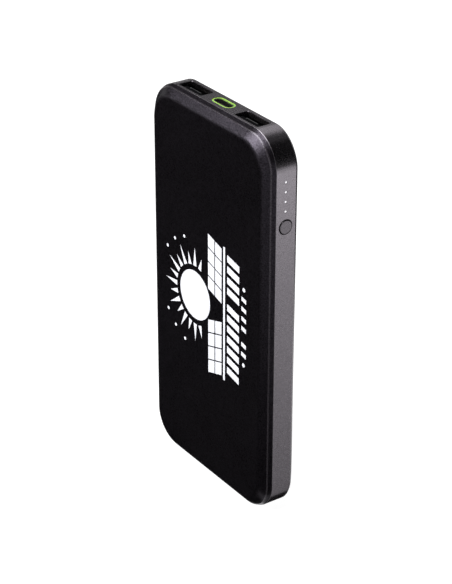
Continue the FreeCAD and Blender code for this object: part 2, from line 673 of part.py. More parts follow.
def make_leds():
    """Side-firing lamps on the board edge, one behind each lens."""
    half_length, depth = LED_SIZE[0] / 2, LED_SIZE[1]
    window_half, window_low, window_high = LED_WINDOW[0] / 2, LED_WINDOW[1], LED_WINDOW[2]
    for index, z in enumerate(LIGHT_HEIGHTS):
        body = block(LED_X, (BOARD_FRONT_Y - depth, BOARD_FRONT_Y), (z - half_length, z + half_length))
        window_y = (BOARD_FRONT_Y - window_high, BOARD_FRONT_Y - window_low)
        window = block(LED_WINDOW_X, window_y, (z - window_half, z + window_half))
        keep(f"led_{index + 1}", together([body, window]))


def make_button():
    """Round button cap with a retaining flange behind the frame and a stem to the switch."""
    flange_end = CAVITY_X - BUTTON_FLANGE_GAP
    cap_x = (flange_end - BUTTON_ROOT, HALF_WIDTH + BUTTON_PROUD)
    cap = rod_x(cap_x, BUTTON_RADIUS, SIDE_CONTROL_Y, BUTTON_Z)
    cap = round_edges(cap, BUTTON_EDGE, lies_at_x(cap_x[1]))
    flange_x = (flange_end - BUTTON_FLANGE_THICKNESS, flange_end)
    flange = rod_x(flange_x, BUTTON_FLANGE_RADIUS, SIDE_CONTROL_Y, BUTTON_Z)
    stem = rod_x((PLUNGER_END_X + CONTACT_GAP, flange_x[1]), BUTTON_STEM_RADIUS, SIDE_CONTROL_Y, BUTTON_Z)
    keep("status_button", together([cap, flange, stem]))


def make_switch():
    """Side-push switch on the board: housing, plunger, snap dome and solder terminals."""
    y, z = SIDE_CONTROL_Y, BUTTON_Z
    z_range = (z - SWITCH_HALF_LENGTH, z + SWITCH_HALF_LENGTH)
    housing = block(SWITCH_X, (SWITCH_FRONT_Y, BOARD_FRONT_Y), z_range)
    chamber = rod_x(CHAMBER_X, CHAMBER_RADIUS, y, z)
    # The chamber is wider than the housing is deep, so it is kept inside the two skins.
    chamber_y = (SWITCH_FRONT_Y + SWITCH_SKINS[0], BOARD_FRONT_Y - SWITCH_SKINS[1])
    chamber = chamber.common(block(SWITCH_X, chamber_y, z_range))
    bore = rod_x((CHAMBER_X[0], SWITCH_X[1] + OVERCUT), PLUNGER_RADIUS + PLUNGER_FIT, y, z)
    keep("switch_housing", without(housing, [chamber, bore]))

    free_y = (chamber_y[0] + MOVING_CLEARANCE, chamber_y[1] - MOVING_CLEARANCE)
    free_space = block(SWITCH_X, free_y, z_range)
    shaft = rod_x((PLUNGER_FLANGE_X[0], PLUNGER_END_X), PLUNGER_RADIUS, y, z)
    flange = rod_x(PLUNGER_FLANGE_X, PLUNGER_FLANGE_RADIUS, y, z).common(free_space)
    keep("switch_plunger", together([shaft, flange]))

    base_x = CHAMBER_X[0] + FIT_GAP
    ball_radius = (DOME_RADIUS ** 2 + DOME_HEIGHT ** 2) / (2 * DOME_HEIGHT)
    centre = Vector(base_x + DOME_HEIGHT - ball_radius, y, z)
    cap_space = rod_x((base_x, base_x + DOME_RADIUS), DOME_RADIUS, y, z)
    outer = Part.makeSphere(ball_radius, centre).common(cap_space)
    inner = Part.makeSphere(ball_radius - DOME_SHEET, centre)
    keep("switch_dome", outer.cut(inner).common(free_space))

    terminals = []
    reach, thickness = TERMINAL_SIZE
    for side in (-1, 1):
        inner_z = z + side * SWITCH_HALF_LENGTH
        z_pair = tuple(sorted((inner_z, inner_z + side * reach)))
        terminals.append(block(TERMINAL_X, (BOARD_FRONT_Y - thickness, BOARD_FRONT_Y), z_pair))
    keep("switch_terminals", Part.makeCompound(terminals))


# ------------------------------------------------------------------ circuit board and its parts
def make_board():
    """Main board with screw holes and slots for the socket legs."""
    y_range = (BOARD_FRONT_Y, BOARD_REAR_Y)
    board = plate((-BOARD_HALF_WIDTH, BOARD_HALF_WIDTH), y_range, BOARD_Z, BOARD_RADIUS)
    foot_z = (BOARD_Z[0], BOARD_Z[0] + BOARD_RADIUS)
    square_foot = block((-BOARD_HALF_WIDTH, BOARD_HALF_WIDTH), y_range, foot_z)
    cut_y = (y_range[0] - OVERCUT, y_range[1] + OVERCUT)
    holes = [rod_y(cut_y, SCREW_RADIUS + SCREW_HOLE_CLEARANCE, x, z) for x, z in SCREW_SPOTS]
    for socket_x in USB_A_X:
        for x, z in usb_a_leg_spots(socket_x):
            size = (LEG_SIZE[0] + 2 * LEG_CLEARANCE, cut_y[1] - cut_y[0], LEG_SIZE[1] + 2 * LEG_CLEARANCE)
            holes.append(centred((x, sum(cut_y) / 2, z), size))
    keep("main_pcb", without(together([board, square_foot]), holes))


def make_board_screws():
    """Four screws that hold the board to the chassis posts."""
    screws = []
    head_radius, head_height = SCREW_HEAD
    slot_width, slot_length, slot_depth = DRIVE_SLOT
    for x, z in SCREW_SPOTS:
        shank = rod_y((BOARD_REAR_Y - SCREW_LENGTH, BOARD_REAR_Y + SCREW_NECK), SCREW_RADIUS, x, z)
        head = rod_y((BOARD_REAR_Y, BOARD_REAR_Y + head_height), head_radius, x, z)
        top = BOARD_REAR_Y + head_height
        cross = [centred((x, top, z), (slot_length, 2 * slot_depth, slot_width)),
                 centred((x, top, z), (slot_width, 2 * slot_depth, slot_length))]
        screws.append(without(together([shank, head]), cross))
    keep("pcb_screws", Part.makeCompound(screws))


def on_board(x, z, size, rear=False):
    """Block of a component that stands on the front or the rear of the board."""
    width, height, thickness = size
    if rear:
        y_range = (BOARD_REAR_Y, BOARD_REAR_Y + thickness)
    else:
        y_range = (BOARD_FRONT_Y - thickness, BOARD_FRONT_Y)
    return block((x - width / 2, x + width / 2), y_range, (z - height / 2, z + height / 2))


def make_inductor(name, x, z):
    """Moulded power inductor with bevelled corners and two solder wraps."""
    y_range = (BOARD_FRONT_Y - INDUCTOR_Y[0], BOARD_FRONT_Y - INDUCTOR_Y[1])
    x_range, z_range = (x - INDUCTOR_HALF, x + INDUCTOR_HALF), (z - INDUCTOR_HALF, z + INDUCTOR_HALF)
    body = plate(x_range, y_range, z_range, INDUCTOR_RADIUS)
    wraps = [on_board(x + side * INDUCTOR_WRAP_X, z, INDUCTOR_WRAP) for side in (-1, 1)]
    keep(name, together([body] + wraps))


def make_can_capacitor(name, x, z):
    """Polymer capacitor can on a square base with two cut corners."""
    base = on_board(x, z, CAN_BASE)
    base = bevel_edges(base, CAN_BASE_CHAMFER, lambda edge: is_along_y(edge) and edge.BoundBox.XMin > x)
    top_y = BOARD_FRONT_Y - CAN_HEIGHT
    can = rod_y((top_y, BOARD_FRONT_Y - CAN_BASE[2]), CAN_RADIUS, x, z)
    can = round_edges(can, CAN_ROUNDING, lies_at_y(top_y))
    groove_radius, groove_section, groove_height = CAN_GROOVE
    groove_centre = Vector(x, BOARD_FRONT_Y - groove_height, z)
    groove = Part.makeTorus(groove_radius, groove_section, groove_centre, Vector(0, 1, 0))
    keep(name, together([base, can]).cut(groove))


def is_along_y(edge):
    """True for a straight edge along Y."""
    bounds = edge.BoundBox
    return bounds.YLength > TOUCH and bounds.XLength < TOUCH and bounds.ZLength < TOUCH


def make_chip(name, spot, size, leads_per_side, pitch, rear):
    """Integrated circuit with a row of leads on two sides."""
    x, z = spot
    lead_offset = (size[0] + CHIP_LEAD[0]) / 2
    first_z = z - pitch * (leads_per_side - 1) / 2
    shapes = [on_board(x, z, size, rear)]
    for side in (-1, 1):
        for index in range(leads_per_side):
            shapes.append(on_board(x + side * lead_offset, first_z + pitch * index, CHIP_LEAD, rear))
    keep(name, together(shapes))


def make_small_components():
    """Ceramic capacitors and chip resistors, as two groups of equal chips."""
    capacitors = []
    for first_x, z in CAPACITOR_ROWS:
        for index in range(CAPACITORS_PER_ROW):
            capacitors.append(on_board(first_x + CAPACITOR_PITCH * index, z, CAPACITOR_SIZE))
    keep("ceramic_capacitors", Part.makeCompound(capacitors))
    resistors = []
    for across in range(RESISTOR_GRID[0]):
        for up in range(RESISTOR_GRID[1]):
            x = RESISTOR_START[0] + RESISTOR_PITCH[0] * across
            z = RESISTOR_START[1] + RESISTOR_PITCH[1] * up
            resistors.append(on_board(x, z, RESISTOR_SIZE))
    keep("chip_resistors", Part.makeCompound(resistors))


def make_board_parts():
    """Power and control components on the main board."""
    for name, (x, z) in INDUCTORS.items():
        make_inductor(name, x, z)
    for name, (x, z) in CAN_CAPACITORS.items():
        make_can_capacitor(name, x, z)
    for name, facts in CHIPS.items():
        make_chip(name, *facts)
    make_small_components()


# ------------------------------------------------------------------ battery pack
def make_cell(name, front_y):
    """Pouch cell with a flattened heat seal along its top."""
    y_range = (front_y, front_y + CELL_THICKNESS)
    x_range = (-CELL_HALF_WIDTH, CELL_HALF_WIDTH)
    body_z = (CELL_Z[0], CELL_Z[1] - SEAL_LENGTH)
    body = plate(x_range, y_range, body_z, CELL_RADIUS)
    for y in y_range:
        body = round_edges(body, CELL_EDGE, lies_at_y(y))
    middle = sum(y_range) / 2
    seal_y = (middle - SEAL_THICKNESS / 2, middle + SEAL_THICKNESS / 2)
    seal_x = (x_range[0] + SEAL_SETBACK, x_range[1] - SEAL_SETBACK)
    seal = block(seal_x, seal_y, (body_z[1] - SEAL_SETBACK, CELL_Z[1]))
    keep(name, together([body, seal]))


def make_cell_tabs(name, front_y, board_side_y):
    """Two tabs that leave the cell's seal and bend over to the protection board."""
    middle = front_y + CELL_THICKNESS / 2
    half_width, thickness = TAB_LEAD[0] / 2, TAB_LEAD[1]
    upright_y = (middle - thickness / 2, middle + thickness / 2)
    arm_y = tuple(sorted((middle, board_side_y)))
    tabs = []
    for x in TAB_LEAD_X:
        x_range = (x - half_width, x + half_width)
        upright = block(x_range, upright_y, (CELL_Z[1], TAB_BEND_Z))
        arm = block(x_range, arm_y, (TAB_BEND_Z - thickness, TAB_BEND_Z))
        tabs.append(together([upright, arm]))
    keep(name, Part.makeCompound(tabs))


def make_lead(name, x):
    """Insulated lead from the protection board up and back to the main board."""
    y_start = PROTECTION_Y - LEAD_RADIUS
    z_start = PROTECTION_Z[1] - LEAD_START
    z_turn = BOARD_Z[0] + LEAD_TURN
    bend = LEAD_BEND
    lift = Part.makeLine(Vector(x, y_start, z_start), Vector(x, y_start, z_turn - bend))
    corner = bend * (1 - math.sqrt(0.5))
    arc = Part.Arc(Vector(x, y_start, z_turn - bend), Vector(x, y_start + corner, z_turn - corner),
                   Vector(x, y_start + bend, z_turn)).toShape()
    run = Part.makeLine(Vector(x, y_start + bend, z_turn), Vector(x, BOARD_FRONT_Y, z_turn))
    path = Part.Wire([lift, arc, run])
    section = Part.Wire([Part.makeCircle(LEAD_RADIUS, Vector(x, y_start, z_start), Vector(0, 0, 1))])
    keep(name, path.makePipeShell([section], True, False))


def make_protection_board():
    """Narrow board above the cells with its two power switches."""
    half_width, thickness = PROTECTION_BOARD
    board_y = (PROTECTION_Y, PROTECTION_Y + thickness)
    keep("protection_board", block((-half_width, half_width), board_y, PROTECTION_Z))
    switches = []
    switch_y = (board_y[1], board_y[1] + MOSFET_HEIGHT)
    switch_z = (PROTECTION_Z[0] + MOSFET_MARGIN, PROTECTION_Z[1] - MOSFET_MARGIN)
    for x in MOSFET_X:
        switches.append(block((x - MOSFET_WIDTH / 2, x + MOSFET_WIDTH / 2), switch_y, switch_z))
    keep("protection_mosfets", Part.makeCompound(switches))
    make_cell_tabs("cell_1_tabs", CELL_FRONT_Y[0], board_y[0])
    make_cell_tabs("cell_2_tabs", CELL_FRONT_Y[1], board_y[1])


def make_battery():
    """Two stacked cells with tape, pads, tabs, protection board, leads and thermistor."""
    for index, front_y in enumerate(CELL_FRONT_Y):
        make_cell(f"battery_cell_{index + 1}", front_y)
    make_protection_board()
    for name, x in LEADS.items():
        make_lead(name, x)
    bead_y = CELL_FRONT_Y[0] + CELL_THICKNESS / 2 - BEAD_SHIFT[0]
    keep("thermistor", rod_x(BEAD_X, BEAD_RADIUS, bead_y, CELL_Z[1] - BEAD_SHIFT[1]))

    pad_z = (CELL_Z[0] + PAD_MARGIN, CELL_Z[1] - SEAL_LENGTH - PAD_MARGIN)
    pad_x = (-FOAM_HALF_WIDTH, FOAM_HALF_WIDTH)
    tape_y = (CELL_FRONT_Y[0] + CELL_THICKNESS, CELL_FRONT_Y[1])
    keep("cell_adhesive_tape", block((-TAPE_HALF_WIDTH, TAPE_HALF_WIDTH), tape_y, pad_z))
    keep("front_foam_pad", plate(pad_x, (FACE_Y + SKIN, CELL_FRONT_Y[0]), pad_z, CELL_RADIUS))
    keep("rear_foam_pad", plate(pad_x, (CELL_FRONT_Y[1] + CELL_THICKNESS, REAR_Y - SKIN), pad_z, CELL_RADIUS))
    sheet_x = (-SHEET_HALF_WIDTH, SHEET_HALF_WIDTH)
    sheet_y = (REAR_Y - SKIN - SHEET_THICKNESS, REAR_Y - SKIN)
    keep("insulation_sheet", plate(sheet_x, sheet_y, (FLOOR_Z[0] + SHEET_LIFT, FLOOR_Z[1]), TRAY_RADIUS))


# ------------------------------------------------------------------ assembly
def build():
    """Make every piece and write one file for each."""
    make_front_cover()
    make_rear_cover()
    make_side_frame()
    make_chassis()
    for index, x in enumerate(USB_A_X):
        make_usb_a_shell(f"usb_a_{index + 1}_shell", x)
        make_usb_a_insulator(f"usb_a_{index + 1}_insulator", x)
        make_usb_a_contacts(f"usb_a_{index + 1}_contacts", x)
        keep(f"usb_a_{index + 1}_tongue_plate", usb_a_plate(x))
    make_usb_c_bezel()
    make_usb_c()
    make_light_guide()
    make_leds()
    make_button()
    make_switch()
    make_board()
    make_board_screws()
    make_board_parts()
    make_battery()
    os.makedirs("parts", exist_ok=True)
    for name, shape in PARTS.items():
        shape.exportStep(f"parts/{name}.step")
        print(f"{name}: {len(shape.Solids)} solid(s), {shape.Volume:.2f} mm3, valid {shape.isValid()}")


build()
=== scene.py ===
import json
import math

import bmesh
import bpy
from mathutils import Matrix, Vector


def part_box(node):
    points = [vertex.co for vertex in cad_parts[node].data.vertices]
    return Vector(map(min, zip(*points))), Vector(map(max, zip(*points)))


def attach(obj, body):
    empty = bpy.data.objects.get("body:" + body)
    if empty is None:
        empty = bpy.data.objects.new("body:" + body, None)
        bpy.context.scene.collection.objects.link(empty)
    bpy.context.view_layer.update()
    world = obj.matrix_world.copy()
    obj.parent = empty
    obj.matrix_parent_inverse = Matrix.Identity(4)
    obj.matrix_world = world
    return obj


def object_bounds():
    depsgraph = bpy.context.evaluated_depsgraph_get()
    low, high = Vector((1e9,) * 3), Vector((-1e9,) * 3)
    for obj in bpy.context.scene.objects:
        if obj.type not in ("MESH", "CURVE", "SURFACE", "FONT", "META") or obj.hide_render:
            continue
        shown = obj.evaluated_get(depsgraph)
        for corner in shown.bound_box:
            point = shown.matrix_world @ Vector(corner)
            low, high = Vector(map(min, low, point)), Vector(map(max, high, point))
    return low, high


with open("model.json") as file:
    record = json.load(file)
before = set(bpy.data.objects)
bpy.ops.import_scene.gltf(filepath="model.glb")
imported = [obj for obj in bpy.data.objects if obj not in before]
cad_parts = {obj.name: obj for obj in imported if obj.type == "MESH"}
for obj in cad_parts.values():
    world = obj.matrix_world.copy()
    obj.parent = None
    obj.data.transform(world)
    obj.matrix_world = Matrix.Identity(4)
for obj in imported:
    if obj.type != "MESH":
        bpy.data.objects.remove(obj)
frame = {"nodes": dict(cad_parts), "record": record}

# Slim power bank standing on its lower end. Metres; +Y points to the rear cover, +Z to the sockets.
CAD_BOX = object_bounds()
MM = 0.001

NODES = frame["nodes"]
SLOTS = {row["node"]: row["material_slot"] for row in frame["record"]["subparts"]}

CASE = "case"
LOW, HIGH = Vector(CAD_BOX[0]), Vector(CAD_BOX[1])
FACE_Y = LOW.y
HALF_HEIGHT = HIGH.z / 2
FRAME_FRONT_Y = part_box("side_frame")[0].y
FRAME_REAR_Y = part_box("side_frame")[1].y

# Edges whose finish differs from the rest of their piece.
COVER_EDGE_Y = FACE_Y + 2.2 * MM         # middle of the rounded edge of the front cover, which carries a painted highlight
EDGE_LINE_WIDTH = 0.5 * MM
MOUTH_EDGE_Z = HIGH.z - 0.12 * MM        # middle of the broken edges of the socket openings, which carry painted shade
MOUTH_EDGE_WIDTH = 0.22 * MM
MOUTHS_WIDTH = 47.2 * MM                 # the stretch of the upper end that holds the sockets

# The Mix node's colour sockets, which share their names with its number and vector sockets.
MIX_FIRST, MIX_SECOND, MIX_RESULT = 6, 7, 2


# ------------------------------------------------------------------ node helpers
class Shader:
    """One material's node tree, with short calls for the nodes that the finishes share."""

    def __init__(self, name):
        self.material = bpy.data.materials.new(name)
        self.material.use_nodes = True
        self.tree = self.material.node_tree
        self.bsdf = self.tree.nodes["Principled BSDF"]
        self.place = self.node("ShaderNodeTexCoord").outputs["Object"]

    def node(self, kind, **settings):
        made = self.tree.nodes.new(kind)
        for key, value in settings.items():
            setattr(made, key, value)
        return made

    def feed(self, value, socket):
        """Link an output to a socket, or set a plain value on it; colours come without their alpha."""
        if isinstance(value, bpy.types.NodeSocket):
            self.tree.links.new(value, socket)
        elif socket.type == "RGBA":
            socket.default_value = (*value, 1.0)
        else:
            socket.default_value = value

    def fill(self, node, **values):
        """Feed a node's sockets by name; underscores in the names stand for spaces."""
        for name, value in values.items():
            self.feed(value, node.inputs[name.replace("_", " ")])

    def set(self, **values):
        """Feed the shader's own sockets."""
        self.fill(self.bsdf, **values)

    def scaled(self, stretch=(1, 1, 1), turn=(0, 0, 0)):
        """Object coordinates in millimetres, multiplied per axis and then turned."""
        made = self.node("ShaderNodeMapping")
        self.fill(made, Vector=self.place, Scale=[factor / MM for factor in stretch], Rotation=turn)
        return made.outputs["Vector"]

    def noise(self, size, stretch=(1, 1, 1), detail=3.0, roughness=0.55):
        """Noise whose features are about size millimetres across."""
        made = self.node("ShaderNodeTexNoise")
        place = self.scaled(stretch)
        self.fill(made, Vector=place, Scale=1.0 / size, Detail=detail, Roughness=roughness)
        return made.outputs["Fac"]

    def cells(self, size):
        """Distance to the nearest of a scatter of points about size millimetres apart."""
        made = self.node("ShaderNodeTexVoronoi")
        self.fill(made, Vector=self.scaled(), Scale=1.0 / size)
        return made.outputs["Distance"]

    def spread(self, pattern, low, high, start=0.3, end=0.7):
        """Map a pattern's stretch from start to end onto low to high."""
        made = self.node("ShaderNodeMapRange")
        self.fill(made, Value=pattern, From_Min=start, From_Max=end, To_Min=low, To_Max=high)
        return made.outputs["Result"]

    def blend(self, factor, first, second):
        """Mix two colours, or colour outputs, by a mask."""
        made = self.node("ShaderNodeMix", data_type="RGBA")
        self.fill(made, Factor=factor)
        self.feed(first, made.inputs[MIX_FIRST])
        self.feed(second, made.inputs[MIX_SECOND])
        return made.outputs[MIX_RESULT]

    def tones(self, pattern, low, high):
        """Colour that wanders between two tones with a pattern."""
        return self.blend(self.spread(pattern, low=0.0, high=1.0), low, high)

    def maths(self, operation, *values):
        """One sum over outputs and plain numbers."""
        made = self.node("ShaderNodeMath", operation=operation)
        for value, socket in zip(values, made.inputs):
            self.feed(value, socket)
        return made.outputs["Value"]

    def add(self, first, second):
        return self.maths("ADD", first, second)

    def times(self, first, second):
        return self.maths("MULTIPLY", first, second)

    def line_mask(self, axis, middle, width, solid=0.6):
        """1 in the solid part of a slab across an axis, falling to 0 half a width from its middle."""
        parts = self.node("ShaderNodeSeparateXYZ")
        self.fill(parts, Vector=self.place)
        gap = self.maths("ABSOLUTE", self.add(parts.outputs[axis], -middle))
        return self.spread(gap, low=1.0, high=0.0, start=solid * width / 2, end=width / 2)

    def bump(self, height, depth, strength):
        """Raise the surface by depth millimetres where height is 1."""
        made = self.node("ShaderNodeBump")
        self.fill(made, Height=height, Distance=depth * MM, Strength=strength)
        self.set(Normal=made.outputs["Normal"])


# ------------------------------------------------------------------ finishes
def shaded(colour, shade):
    return tuple(shade * part for part in colour)


def cover_black():
    """Black satin paint: fine speckle, slow changes of sheen, and a rounded edge rubbed smoother, with a
    painted highlight in its paler colour.
    """
    s = Shader("cover_black")
    speckle = s.noise(size=0.5, roughness=0.8)
    fine = s.noise(size=0.2, detail=2.0)
    cloud = s.noise(size=16.0, detail=4.0)
    # Mask of the cover's rounded edge: its paler colour is a painted highlight, its smoother, coated gloss
    # is real.
    edge_line = s.line_mask("Y", COVER_EDGE_Y, EDGE_LINE_WIDTH)
    painted_highlight_tone = (0.022, 0.019, 0.022)
    rubbed_change = -0.06
    rubbed_coat = 0.55
    fine_share = 0.3
    paint = s.tones(cloud, low=(0.0005, 0.0003, 0.0005), high=(0.0009, 0.0006, 0.0009))
    sheen = s.add(s.spread(cloud, low=0.31, high=0.35), s.spread(speckle, low=-0.07, high=0.07))
    s.set(Base_Color=s.blend(edge_line, paint, painted_highlight_tone),
          Roughness=s.add(sheen, s.times(edge_line, rubbed_change)),
          Specular_IOR_Level=s.spread(speckle, low=0.26, high=0.90, start=0.36, end=0.64),
          Specular_Tint=(0.90, 0.80, 1.0),
          Coat_Weight=s.times(edge_line, rubbed_coat),
          Coat_Roughness=0.26)
    s.bump(s.add(speckle, s.times(fine, fine_share)), depth=0.022, strength=1.0)
    return s.material


GUNMETAL_DARK = (0.178, 0.163, 0.180)
GUNMETAL_LIGHT = (0.258, 0.238, 0.262)
GUNMETAL_WORN = (0.23, 0.215, 0.235)
MOUTH_PAINTED_SHADE = 0.25                  # painted shade that dulls the highlight on the broken edges of the openings
BUTTON_SHADE = 0.68                      # the button is darker than the band


def gunmetal(name, shade=1.0):
    """Bead-blasted gunmetal anodising: fine speckle, slow changes of sheen, rougher, even edges, and
    painted shade on the broken edges of the socket openings.
    """
    s = Shader(name)
    dark, light, worn = [shaded(tone, shade) for tone in (GUNMETAL_DARK, GUNMETAL_LIGHT, GUNMETAL_WORN)]
    speckle = s.noise(size=0.6, roughness=0.75)
    fine = s.noise(size=0.2, detail=2.0)
    cloud = s.noise(size=11.0)
    front_edge = s.line_mask("Y", FRAME_FRONT_Y, EDGE_LINE_WIDTH)
    rear_edge = s.line_mask("Y", FRAME_REAR_Y, EDGE_LINE_WIDTH)
    edge_line = s.maths("MAXIMUM", front_edge, rear_edge)
    rubbed_change = 0.16
    fine_share = 0.5
    # Painted shade on the broken edges of the socket openings, darkening their highlight.
    mouth_painted_shade = s.times(s.line_mask("Z", MOUTH_EDGE_Z, MOUTH_EDGE_WIDTH),
                     s.line_mask("X", 0.0, MOUTHS_WIDTH, solid=0.95))
    blasted = s.blend(edge_line, s.tones(speckle, dark, light), worn)
    sheen = s.add(s.spread(cloud, low=0.24, high=0.28), s.spread(speckle, low=-0.03, high=0.03))
    s.set(Base_Color=s.blend(mouth_painted_shade, blasted, shaded(dark, MOUTH_PAINTED_SHADE)),
          Roughness=s.add(sheen, s.times(edge_line, rubbed_change)),
          Metallic=1.0)
    s.bump(s.add(speckle, s.times(fine, fine_share)), depth=0.012, strength=0.4)
    return s.material


def frame_gunmetal():
    """The band round the edge."""
    return gunmetal("frame_gunmetal")


def button_gunmetal():
    """The button, in a darker shade of the band."""
    return gunmetal("button_gunmetal", BUTTON_SHADE)


CLOUD_PER_GRAIN = 20                     # how much wider a moulding's slow changes are than its grain


def moulded(name, low, high, rough=(0.45, 0.6), grain_size=0.25, grain_depth=0.02, **settings):
    """Plain moulded plastic: two close tones, uneven gloss and a fine grain."""
    s = Shader(name)
    cloud = s.noise(size=grain_size * CLOUD_PER_GRAIN)
    s.set(Base_Color=s.tones(cloud, low, high), Roughness=s.spread(cloud, *rough), **settings)
    s.bump(s.noise(size=grain_size), depth=grain_depth, strength=0.5)
    return s.material


def metal(name, low, high, rough=(0.25, 0.4), stretch=(1, 1, 8), grain_size=0.3, grain_depth=0.004):
    """Bare or plated metal with drawn marks, which lie closest along the axis with the high stretch."""
    s = Shader(name)
    marks = s.noise(size=grain_size, stretch=stretch, detail=4.0)
    s.set(Base_Color=s.tones(s.noise(size=3.0), low, high), Roughness=s.spread(marks, *rough), Metallic=1.0)
    s.bump(marks, depth=grain_depth, strength=0.6)
    return s.material


def chassis_plastic():
    """Dark moulding of the tray and the posts inside."""
    return moulded("chassis_plastic", low=(0.02, 0.02, 0.022), high=(0.03, 0.03, 0.032))


def socket_steel():
    """Plated sheet, darkened below bare steel as painted shade for the dark insides of the sockets."""
    return metal("socket_steel", low=(0.20, 0.20, 0.205), high=(0.28, 0.28, 0.285))


def shell_black():
    """Near-black shells of the two large sockets, painted shade for the dark inside of the sockets."""
    return metal("shell_black", low=(0.010, 0.010, 0.011), high=(0.022, 0.021, 0.023), rough=(0.3, 0.45))


def socket_plastic():
    """Black moulding with hardly any gloss."""
    return moulded("socket_plastic", low=(0.0025, 0.0025, 0.003), high=(0.005, 0.005, 0.0055),
                   rough=(0.6, 0.8), grain_size=0.12, grain_depth=0.008, IOR=1.06)


def contact_metal():
    """Gold-plated contacts."""
    return metal("contact_metal", low=(0.82, 0.72, 0.50), high=(0.92, 0.84, 0.64), rough=(0.35, 0.5))


def bezel_green():
    """Lime moulding, fairly glossy, with a faint flow pattern."""
    s = Shader("bezel_green")
    cloud = s.noise(size=1.5)
    s.set(Base_Color=s.tones(cloud, low=(0.29, 0.54, 0.08), high=(0.36, 0.62, 0.11)),
          Roughness=s.spread(cloud, low=0.28, high=0.40),
          Subsurface_Weight=0.15,
          Subsurface_Scale=0.6 * MM)
    s.bump(s.noise(size=0.08), depth=0.004, strength=0.5)
    return s.material


def light_guide():
    """Milky clear plastic with a weak white glow, as if its lamps were lit."""
    s = Shader("light_guide")
    cloud = s.noise(size=0.5)
    s.set(Base_Color=s.tones(cloud, low=(0.86, 0.88, 0.92), high=(0.95, 0.96, 0.98)),
          Roughness=s.spread(cloud, low=0.15, high=0.28),
          Emission_Color=(1.0, 0.99, 1.0),
          Emission_Strength=0.6)
    s.bump(s.noise(size=0.1), depth=0.003, strength=0.4)
    return s.material


def led_body():
    """Cream lamp body with a yellowish phosphor cast."""
    return moulded("led_body", low=(0.80, 0.78, 0.62), high=(0.90, 0.88, 0.74), rough=(0.3, 0.45),
                   grain_size=0.1)


def board_green():
    """Solder mask over a pattern of tracks and filled copper."""
    s = Shader("board_green")
    tracks = s.node("ShaderNodeTexBrick")
    s.fill(tracks, Vector=s.scaled(turn=(math.radians(90), 0, 0)), Scale=0.45, Mortar_Size=0.08,
           Color1=(0.012, 0.105, 0.045), Color2=(0.016, 0.125, 0.052), Mortar=(0.035, 0.21, 0.085))
    s.set(Base_Color=tracks.outputs["Color"], Roughness=s.spread(s.noise(size=2.0), low=0.28, high=0.42))
    s.bump(tracks.outputs["Fac"], depth=0.03, strength=0.6)
    return s.material


def component_dark():
    """Dark moulding of the chips, the coils and the switch."""
    return moulded("component_dark", low=(0.018, 0.018, 0.02), high=(0.035, 0.035, 0.038))


def capacitor_can():
    """Drawn aluminium can."""
    return metal("capacitor_can", low=(0.62, 0.62, 0.63), high=(0.74, 0.74, 0.75), stretch=(1, 8, 1))


def ceramic_tan():
    """Tan ceramic of the small capacitors."""
    return moulded("ceramic_tan", low=(0.30, 0.20, 0.11), high=(0.42, 0.29, 0.17), rough=(0.3, 0.45))


def screw_steel():
    """Plated screw steel with turned marks."""
    return metal("screw_steel", low=(0.42, 0.42, 0.43), high=(0.55, 0.55, 0.57), stretch=(1, 6, 1))


def cell_foil():
    """Aluminium laminate pouch: soft creases and a dull silver sheen."""
    s = Shader("cell_foil")
    creases = s.noise(size=5.0, detail=6.0, roughness=0.6)
    grain = s.noise(size=0.3)
    s.set(Base_Color=s.tones(creases, low=(0.55, 0.56, 0.58), high=(0.70, 0.71, 0.73)),
          Roughness=s.add(s.spread(creases, low=0.30, high=0.46), s.spread(grain, low=-0.03, high=0.03)),
          Metallic=0.85)
    s.bump(creases, depth=0.25, strength=0.5)
    return s.material


def tab_nickel():
    """Nickel strip."""
    return metal("tab_nickel", low=(0.52, 0.50, 0.46), high=(0.66, 0.64, 0.60))


def lead_red():
    """Red sleeve of the positive lead."""
    return moulded("lead_red", low=(0.42, 0.015, 0.012), high=(0.55, 0.03, 0.02), rough=(0.4, 0.55))


def lead_black():
    """Black sleeve of the negative lead."""
    return moulded("lead_black", low=(0.012, 0.012, 0.013), high=(0.022, 0.022, 0.024), rough=(0.4, 0.55))


def foam_grey():
    """Closed-cell foam: open pores on a dark grey body."""
    s = Shader("foam_grey")
    pores = s.cells(0.5)
    walls = s.spread(pores, low=0.0, high=1.0, start=0.1, end=0.6)
    s.set(Base_Color=s.blend(walls, first=(0.05, 0.05, 0.055), second=(0.12, 0.12, 0.13)),
          Roughness=s.spread(pores, low=0.8, high=0.95))
    s.bump(pores, depth=0.15, strength=0.8)
    return s.material


def tape_clear():
    """Amber adhesive film."""
    return moulded("tape_clear", low=(0.50, 0.38, 0.16), high=(0.62, 0.50, 0.24), rough=(0.25, 0.4))


def print_white():
    """Screen-printed white ink: slightly uneven cover and a matt surface."""
    s = Shader("print_white")
    grain = s.noise(size=0.14)
    s.set(Base_Color=s.tones(s.noise(size=4.0), low=(0.74, 0.75, 0.80), high=(0.84, 0.85, 0.90)),
          Roughness=s.spread(grain, low=0.45, high=0.62))
    s.bump(grain, depth=0.01, strength=0.4)
    return s.material


